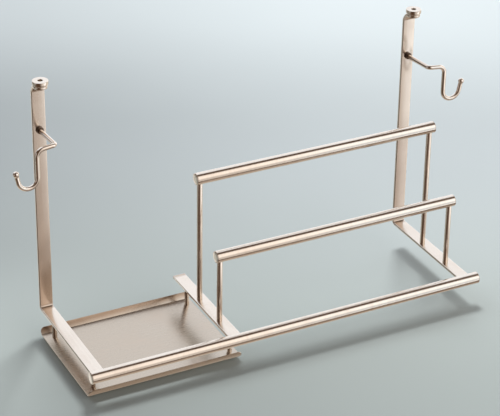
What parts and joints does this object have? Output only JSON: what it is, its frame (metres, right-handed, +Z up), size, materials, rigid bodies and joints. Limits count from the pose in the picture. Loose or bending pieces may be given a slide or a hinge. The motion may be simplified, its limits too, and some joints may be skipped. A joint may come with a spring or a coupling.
{
  "type": "hanging valet rack",
  "caption": "Hanging valet rack: hanger straps with forward arms carry trouser bars, coat hooks and an open tray for small things.",
  "frame": {"origin": "midway between the two mounting holes, on the top faces of the mounting bushes", "axes": "+X along the bars, towards the end away from the tray; -Y towards the front, where the user stands; +Z up"},
  "size_m": [0.655, 0.1975, 0.37],
  "materials": {
    "flat_bar": "satin nickel, long grain",
    "tube": "satin nickel, turned grain",
    "end_cap": "satin nickel",
    "post": "satin nickel",
    "hook": "bright satin nickel",
    "tray_sheet": "satin nickel, fine grain",
    "mount_metal": "satin nickel, turned",
    "fastener": "plain bright steel"
  },
  "bodies": {
    "root": {"strap_left": "flat_bar", "strap_right": "flat_bar", "arm_middle": "flat_bar", "front_bar": "tube", "rear_bar": "tube", "middle_bar": "tube", "front_bar_cap_left": "end_cap", "front_bar_cap_right": "end_cap", "rear_bar_cap_left": "end_cap", "rear_bar_cap_right": "end_cap", "middle_bar_cap_left": "end_cap", "middle_bar_cap_right": "end_cap", "rear_bar_post_left": "post", "rear_bar_post_right": "post", "middle_bar_post_left": "post", "middle_bar_post_right": "post", "tray_spacer_rear_left": "post", "tray_spacer_rear_right": "post", "tray_spacer_front_left": "post", "tray_spacer_front_right": "post", "hook_left": "hook", "hook_right": "hook", "hook_ball_left": "hook", "hook_ball_right": "hook", "hook_collar_left": "hook", "hook_collar_right": "hook", "tray": "tray_sheet", "mount_washer_left": "mount_metal", "mount_washer_right": "mount_metal", "mount_bush_left": "mount_metal", "mount_bush_right": "mount_metal", "post_screws": "fastener", "tray_screws": "fastener", "hook_nuts": "fastener"}
  },
  "joints": []
}
